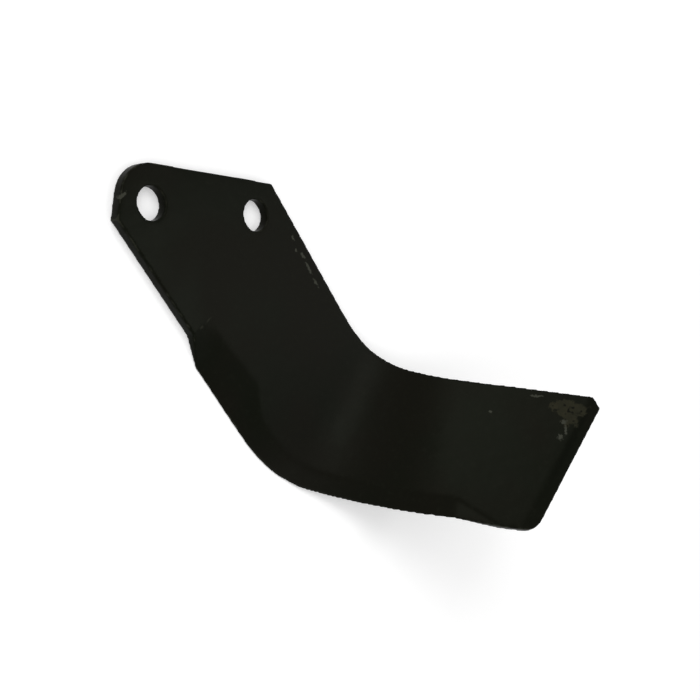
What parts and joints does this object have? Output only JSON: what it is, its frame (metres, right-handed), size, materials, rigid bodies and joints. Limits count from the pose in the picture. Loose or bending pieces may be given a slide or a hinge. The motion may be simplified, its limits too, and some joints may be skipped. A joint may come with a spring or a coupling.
{
  "type": "rotary tiller blade",
  "caption": "Right-angled forged soil-cutting blade: flat drilled shank, bevelled leading edge, conical bend and flat turned-in wing.",
  "frame": {"origin": "midway between the two bolt holes, on the back face of the shank, which seats on the rotor flange", "axes": "+X from the hole near the rounded corner to the hole near the square corner, +Z out of the shank's inner face towards the bolt heads and the turned-in wing, +Y out towards the shank's cut end; the shank runs down and to the right, towards +X and -Y"},
  "size_m": [0.2486, 0.168, 0.0815],
  "materials": {
    "painted_steel": "satin olive-black paint over forged spring steel, worn to bare metal and rust in small patches"
  },
  "bodies": {
    "root": {"tiller_blade": "painted_steel"}
  },
  "joints": []
}
